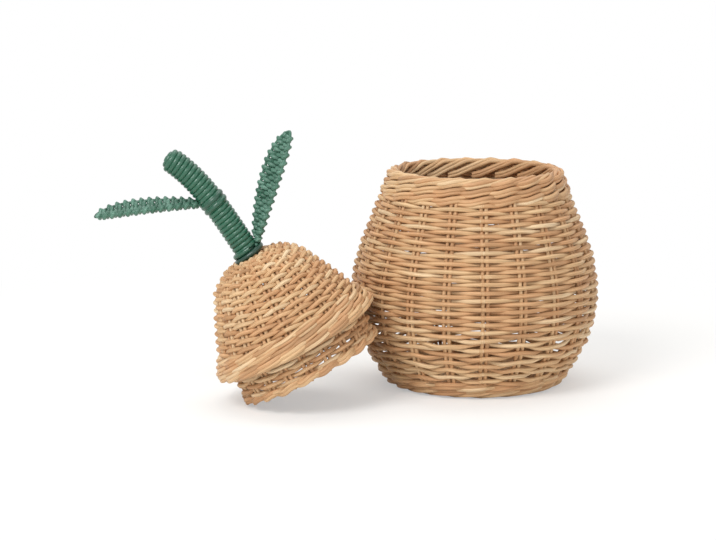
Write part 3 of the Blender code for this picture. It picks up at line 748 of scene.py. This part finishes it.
class BASKET_OT_base(bpy.types.Operator):
    """Weaves the base of the basket"""
    bl_idname = "basket.base"
    bl_label = "Base"

    def execute(self, context):
        s = context.scene.basket_sizes
        height = s.foot_height - 0.002
        outline = [(0.004, height + 0.0022), (0.030, height + 0.0012), (0.0565, height)]
        rows = rows_up(outline, lambda radius, height: (0.0029, 1.0, 1.0, 0.3, 0.0))
        grown("base_rows", [rows], "woven_rows", "bare_rattan_core",
              {"Steps": s.stakes * 6, "Depth": 0.0007, "Jitter": 0.0008, "Cane": s.cane,
               "Sides": 6, "Unevenness": 0.05, "Seed": 400.0}, "basket", s.turn,
              ["base_weave"])
        return {"FINISHED"}


class BASKET_OT_borders(bpy.types.Operator):
    """Plaits the borders at the foot and at the mouth of the basket"""
    bl_idname = "basket.borders"
    bl_label = "Borders"

    def execute(self, context):
        s = context.scene.basket_sizes
        half = s.cane / 2
        swing = PLAITS["rim_plait"][0]
        top = s.rim_top - half

        def outer(height):
            return wall_radius(height) - half - swing

        inner = wall_radius(s.rim_top) - s.rim_depth
        path = [(-0.8, outer(top - 0.0180) - 0.0040, top - 0.0175, 0, 0)]
        path += [(g, outer(top - 0.0162 + 0.0029 * g), top - 0.0162 + 0.0029 * g, 1, 0)
                 for g in range(6)]
        path += [(5.5, outer(top) + 0.0006, top - 0.0004, 0.4, 0.6),
                 (6.1, inner + 0.0016, top + 0.0002, 0, 1.4), (6.7, inner, top - 0.0036, 0, 2),
                 (7.5, inner + 0.0003, top - 0.0100, 0, 2),
                 (7.9, inner + 0.0022, top - 0.0118, 0, 2)]
        border("rim_plait", path)
        path = [(-0.8, outer(0.002) - 0.0040, 0.0034, 0, 0)]
        path += [(g, outer(0.0030 + 0.0025 * g), 0.0030 + 0.0025 * g, 0.85, 0) for g in range(4)]
        path += [(3.6, outer(0.0110) - 0.0024, 0.0108, 0.3, 0.7),
                 (4.3, outer(0.0110) - 0.0048, 0.0090, 0, 1.6),
                 (5.2, outer(0) - 0.0056, 0.0040, 0, 2)]
        border("foot_plait", path)
        return {"FINISHED"}


class BASKET_OT_crown(bpy.types.Operator):
    """Weaves the crown of the lid and its neck on their stakes"""
    bl_idname = "basket.crown"
    bl_label = "Crown and neck"

    def execute(self, context):
        s, b = context.scene.lid_sizes, context.scene.basket_sizes
        bed = weave_bed()
        low, top = s.edge_height + b.cane * 1.1, crown_top()
        outline = []
        for k in range(41):
            height = low + (top - low) * math.sin(math.pi / 2 * k / 40)
            beyond = math.exp(-((height - SHOULDER_HEIGHT) / SHOULDER_REACH) ** 2)
            outline.append((crown_radius(height) + s.shoulder * beyond, height))
        outline += [(0.0145, top + 0.0009), (0.0100, top + 0.0012)]
        line = inward(outline, bed)

        def pitches(radius, height):
            near_top = min(1.0, radius / 0.034)
            return b.row_pitch, 0.9 + 0.1 * near_top, 0.35 + 0.65 * near_top, 1.0, 0.0004

        neck_out = [(s.neck_radius - 0.0015, -s.neck_height + s.neck_border - 0.0008),
                    (s.neck_radius - 0.0007, -0.0100), (s.neck_radius, -0.0006)]
        neck = inward(neck_out, bed)
        crown_rows = rows_up(line, pitches)
        neck_rows = rows_up(neck, lambda radius, height: (0.0031, 0.96, 1.0, 1.6, 0.0006))
        for name, rows, seed, solid in (("crown_rows", crown_rows, 703.0, "crown_weave"),
                                        ("neck_rows", neck_rows, 1003.0, "neck_weave")):
            grown(name, [rows], "woven_rows", "bare_rattan_core",
                  {"Steps": b.stakes * 8, "Depth": b.depth, "Jitter": 0.0024, "Cane": b.weaver,
                   "Unevenness": 0.09, "Seed": seed}, "lid", s.turn, [solid])
        stakes = [(r, 0, z) for r, z in neck] + [(crown_radius(0) - bed - 0.0024, 0, 0.0020)]
        stakes += [(r, 0, z, min(1.0, 0.4 + 0.6 * r / 0.030)) for r, z in line[::3]
                   if z > 0.006 and r > s.seat_radius]
        stake_pairs("lid_stakes", stakes, 46, 900.0, "lid", s.turn, "lid_stake_pair")
        return {"FINISHED"}


class BASKET_OT_lid_borders(bpy.types.Operator):
    """Plaits the borders at the edge of the crown and at the foot of the neck"""
    bl_idname = "basket.lid_borders"
    bl_label = "Lid borders"

    def execute(self, context):
        s, b = context.scene.lid_sizes, context.scene.basket_sizes
        inset = b.cane / 2 + PLAITS["edge_plait"][0]
        out = s.crown_radius + 0.0012 - inset
        path = [(-0.8, out - 0.0040, 0.0010, 0, 0), (0, out - 0.0006, 0.0012, 1, 0),
                (1, out, 0.0030, 1, 0), (2, out, 0.0054, 1, 0)]
        path += [(g, crown_radius(0.0006 + 0.0024 * g) + 0.0006 - inset, 0.0006 + 0.0024 * g, 1, 0)
                 for g in (3, 4, 5)]
        path += [(5.8, crown_radius(0.0140) - 0.0050, 0.0142, 0, 0)]
        border("edge_plait", path)
        out, low = s.neck_radius - 0.0015 - inset, -s.neck_height
        border("neck_plait", [
            (-0.8, out - 0.0036, low + 0.0056, 0, 0), (0, out, low + 0.0049, 1.6, 0),
            (1, out, low + 0.0054, 1.6, 0), (2, out, low + 0.0075, 1.6, 0),
            (2.6, out - 0.0020, low + 0.0081, 0.5, 0.8),
            (3.3, out - 0.0044, low + 0.0063, 0, 1.8), (4.1, out - 0.0046, low + 0.0031, 0, 2)])
        return {"FINISHED"}


class BASKET_OT_stem(bpy.types.Operator):
    """Winds the dyed cane of the stem, its collar and the tie of the leaf"""
    bl_idname = "basket.stem"
    bl_label = "Stem"

    def execute(self, context):
        s = context.scene.stem_sizes
        middle = [stem_middle(-STEM_BELOW + 0.115 * k / 60) for k in range(61)]
        run = s.radius - s.cane / 2
        tip = s.height - s.cane / 2
        dome = [(run * math.cos(a), tip - run * 0.55 * (1 - math.sin(a)))
                for a in [math.radians(6 * k) for k in range(15)]]

        # The thick cane under the windings is dyed with them, and ends in a dome under theirs.
        neck = s.height - STEM_TOP
        core = [stem_middle(-0.009)] + [stem_middle(neck * k / 24) for k in range(25)]
        for k in range(1, 7):
            a = math.radians(15 * k)
            core.append((*stem_middle(neck + 0.0045 * math.sin(a)), max(math.cos(a), 0.15)))
        grown("stem_core_cane", [core], "canes_along_lines", "dyed_rattan_core",
              {"Cane": 0.0134, "Sides": 20, "Unevenness": 0.0, "Seed": 1390.0},
              "lid", 0, ["stem_core"])

        # Each winding has an outline, the thickness of its cane, a pitch and a length.
        flare = s.collar_radius - COLLAR_CANE / 2
        collar = [(flare, -0.0010), (flare - 0.0012, COLLAR_CANE * 0.8),
                  (run + 0.0006, COLLAR_CANE * 1.6)]
        stem = [(run, COLLAR_CANE * 1.1)] + dome
        length = sum(math.dist(a, c) for a, c in zip(stem, stem[1:]))
        tie = [(run + 0.0007, TIE_HEIGHT), (run + 0.0007, TIE_HEIGHT + 0.008)]
        tie_cane = s.cane * 1.12
        for name, outline, cane, pitch, reach, stands_for, seed in (
                ("stem_collar_turns", collar, COLLAR_CANE, COLLAR_CANE, COLLAR_CANE * 1.6,
                 ["stem_collar"], 1401.0),
                ("stem_turns", stem, s.cane, s.pitch, length,
                 ["stem_wrap_lower", "stem_wrap_upper"], 1500.0),
                ("stem_tie_turns", tie, tie_cane, tie_cane, s.cane * 2.3, ["stem_tie"], 1604.0)):
            grown(name, [middle, [(r, 0, z + STEM_BELOW) for r, z in outline]], "winding",
                  "dyed_rattan_core", {"Pitch": pitch, "Reach": reach, "Cane": cane, "Sides": 10,
                                       "Unevenness": 0.04, "Seed": seed},
                  "lid", 0, stands_for)
        return {"FINISHED"}


class BASKET_OT_leaves(bpy.types.Operator):
    """Frames and weaves the two leaves"""
    bl_idname = "basket.leaves"
    bl_label = "Leaves"

    def execute(self, context):
        s, stem = context.scene.leaf_sizes, context.scene.stem_sizes
        beside_stem = LEAF_GAP + s.cane / 2
        root = stem_middle(LEFT_LEAF_HEIGHT) - Vector((CORE_RADIUS + beside_stem, 0, 0))
        self.leaf("left_leaf", root, -1, s.left_rise, s.left_length, s.left_arch, s.left_roll,
                  0.0, 1700.0)
        root = Vector((stem.radius + beside_stem, 0, crown_top() + RIGHT_LEAF_HEIGHT))
        self.leaf("right_leaf", root, 1, s.right_rise, s.right_length, s.right_arch, s.right_roll,
                  0.0065, 1800.0)
        return {"FINISHED"}

    def leaf(self, name, root, way, rise, length, arch, roll, stalk, seed):
        """Frame and midrib as canes, and one weaver that crosses them to and fro."""
        s = bpy.context.scene.leaf_sizes
        heading = Vector((way * math.cos(rise), 0, math.sin(rise)))
        bow = Vector((-way * math.sin(rise), 0, math.cos(rise)))
        near = Vector((0, -1, 0))
        across = math.cos(roll) * near - math.sin(roll) * bow
        face = math.cos(roll) * bow + math.sin(roll) * near

        def place(share, sideways, lift=0.0):
            spine = root + heading * length * share + bow * arch * 4 * share * (1 - share)
            up = abs(sideways) * math.sin(s.trough) + lift
            return spine + across * sideways * math.cos(s.trough) + face * up

        def half_width(share):
            start, widest, peak = s.cane + 0.0003, s.width / 2, 0.65
            if share < peak:
                return start + (widest - start) * math.sin(math.pi / 2 * share / peak) ** 0.8
            beyond = (share - peak) / (1 - peak)
            narrow = widest * max(1 - beyond ** 2, 0) ** 0.6
            return max(narrow, start * math.sqrt(max(1 - beyond ** 8, 0)))

        shares = [math.sin(math.pi / 2 * k / 24) for k in range(24)]
        sides = [[(*place(t, side * half_width(t)), 1 + 7 * max(t - 0.85, 0)) for t in shares]
                 for side in (1, -1)]
        frame_line = sides[0] + [(*place(1, 0), 2)] + sides[1][::-1]
        midrib = [(*place(-stalk / length, 0), 1.7)]
        midrib += [(*place(0.985 * k / 30, 0), 1 + 1.5 * max(k - 24, 0) / 6) for k in range(31)]
        between = [[place(t, side * half_width(t) / 2)
                    for t in (0.14 + 0.79 * k / 24 for k in range(25))] for side in (-1, 1)]
        grown(name + "_canes", [frame_line, midrib, *between], "canes_along_lines",
              "worn_dyed_rattan_core", {"Cane": s.cane, "Unevenness": 0.05, "Seed": seed},
              "lid", 0, [name + "_frame", name + "_midrib"])

        first, last = -stalk / length * 0.8, 0.985
        rows = int((last - first) * length / s.row_pitch)
        lift = (s.cane + s.weaver) / 2 * 0.5
        step = (last - first) / rows
        weaver = []
        for row in range(rows):
            side = 1 if row % 2 else -1
            for k in range(17):
                swing = side * (2 * k / 16 - 1)
                share = first + step * (row + 0.35 * k / 16)
                up = side * lift * math.cos(2 * math.pi * (swing + 1))
                wide = half_width(max(share, 0.0))
                weaver.append((*place(share, swing * wide, up), 1.25 if k in (0, 16) else 1.0))
            share = first + step * (row + 0.68)
            edge = half_width(max(share, 0.0)) + lift * 0.25
            weaver.append((*place(share, side * edge), 1.5))
        grown(name + "_rows", [weaver], "canes_along_lines", "worn_dyed_rattan_core",
              {"Cane": s.weaver, "Unevenness": 0.06, "Seed": seed + 50},
              "lid", 0, [name + "_weave"])


class BASKET_OT_stage(bpy.types.Operator):
    """Makes the floor, the world, the lamps and the camera"""
    bl_idname = "basket.stage"
    bl_label = "Stage"

    def execute(self, context):
        s = context.scene.stage_settings
        mesh = bpy.data.meshes.new("floor")
        rim = [(0.9 * math.cos(math.radians(5 * k)), 0.9 * math.sin(math.radians(5 * k)), 0)
               for k in range(72)]
        mesh.from_pydata(rim, [], [range(72)])
        floor = bpy.data.objects.new("floor", mesh)
        context.scene.collection.objects.link(floor)
        # Matt white paper: it takes the soft shadow, and to the camera it runs into the white
        # of the backdrop further out.
        paper, tree, shader = shader_start("white_paper")
        shader.inputs["Base Color"].default_value = (*linear("F6F5F2"), 1)
        shader.inputs["Roughness"].default_value = 0.9
        spot = add(tree, "ShaderNodeTexCoord").outputs["Object"]
        far = add(tree, "ShaderNodeVectorMath", {0: spot}, operation="LENGTH")
        outer = add(tree, "ShaderNodeMapRange",
                    {"Value": far.outputs["Value"], "From Min": 0.22, "From Max": 0.55},
                    interpolation_type="SMOOTHSTEP")
        seen = add(tree, "ShaderNodeLightPath").outputs["Is Camera Ray"]
        bright = add(tree, "ShaderNodeMath", {0: outer, 1: 0.4}, operation="MAXIMUM")
        share = add(tree, "ShaderNodeMath", {0: bright, 1: seen}, operation="MULTIPLY")
        white = add(tree, "ShaderNodeEmission", {"Color": (1, 1, 1, 1), "Strength": 1.0})
        mixed = add(tree, "ShaderNodeMixShader", {0: share, 1: shader, 2: white})
        tree.links.new(mixed.outputs[0], tree.nodes["Material Output"].inputs["Surface"])
        mesh.materials.append(paper)

        world = bpy.data.worlds.new("studio")
        context.scene.world = world
        world.use_nodes = True
        tree = world.node_tree
        tree.nodes.clear()
        soft, white = (add(tree, "ShaderNodeBackground", {"Color": (1, 1, 1, 1), "Strength": much})
                       for much in (s.ambient, 1.0))
        rays = add(tree, "ShaderNodeLightPath").outputs
        seen = rays["Is Camera Ray"]
        for label in ("Is Glossy Ray", "Is Transmission Ray"):
            seen = add(tree, "ShaderNodeMath", {0: seen, 1: rays[label]}, operation="MAXIMUM")
        both = add(tree, "ShaderNodeMixShader", {0: seen, 1: soft, 2: white})
        add(tree, "ShaderNodeOutputWorld", {"Surface": both})

        for name, power, width, spot in (("key_lamp", s.key_power, 0.9, (-0.75, -1.15, 1.25)),
                                         ("fill_lamp", s.fill_power, 1.2, (1.25, -1.2, 0.7)),
                                         ("top_lamp", s.top_power, 1.4, (0.1, 0.5, 1.6))):
            data = bpy.data.lights.new(name, "AREA")
            data.shape = "DISK"
            data.size = width
            data.energy = power
            lamp = bpy.data.objects.new(name, data)
            lamp.location = spot
            aim = Vector((0, 0, 0.08)) - lamp.location
            lamp.rotation_euler = aim.to_track_quat("-Z", "Y").to_euler()
            context.scene.collection.objects.link(lamp)

        camera = bpy.data.objects.new("camera", bpy.data.cameras.new("camera"))
        camera.data.lens = s.lens
        camera.location = basket_place().translation + Vector(s.camera_shift)
        camera.rotation_euler = (math.pi / 2 - s.camera_pitch, 0, 0)
        context.scene.collection.objects.link(camera)
        context.scene.camera = camera
        context.scene.view_settings.view_transform = "Standard"
        return {"FINISHED"}


OPERATORS = (BASKET_OT_wall, BASKET_OT_base, BASKET_OT_borders, BASKET_OT_crown,
             BASKET_OT_lid_borders, BASKET_OT_stem, BASKET_OT_leaves, BASKET_OT_stage)


class BASKET_PT_panel(bpy.types.Panel):
    """Lists the pieces and their sizes"""
    bl_idname = "BASKET_PT_panel"
    bl_label = "Onion basket"
    bl_space_type = "VIEW_3D"
    bl_region_type = "UI"
    bl_category = "Basket"

    def draw(self, context):
        for operator in OPERATORS:
            self.layout.operator(operator.bl_idname)
        for name, group in SETTINGS.items():
            box = self.layout.box()
            for label in group.__annotations__:
                box.prop(getattr(context.scene, name), label)


def register():
    for group in (*SETTINGS.values(), *OPERATORS, BASKET_PT_panel):
        bpy.utils.register_class(group)
    for name, group in SETTINGS.items():
        setattr(bpy.types.Scene, name, PointerProperty(type=group))


def unregister():
    for name in SETTINGS:
        delattr(bpy.types.Scene, name)
    for group in reversed((*SETTINGS.values(), *OPERATORS, BASKET_PT_panel)):
        bpy.utils.unregister_class(group)


def main():
    """Makes every piece and the stage."""
    register()
    for operator in OPERATORS:
        area, name = operator.bl_idname.split(".")
        getattr(getattr(bpy.ops, area), name)()


if __name__ == "__main__":
    main()
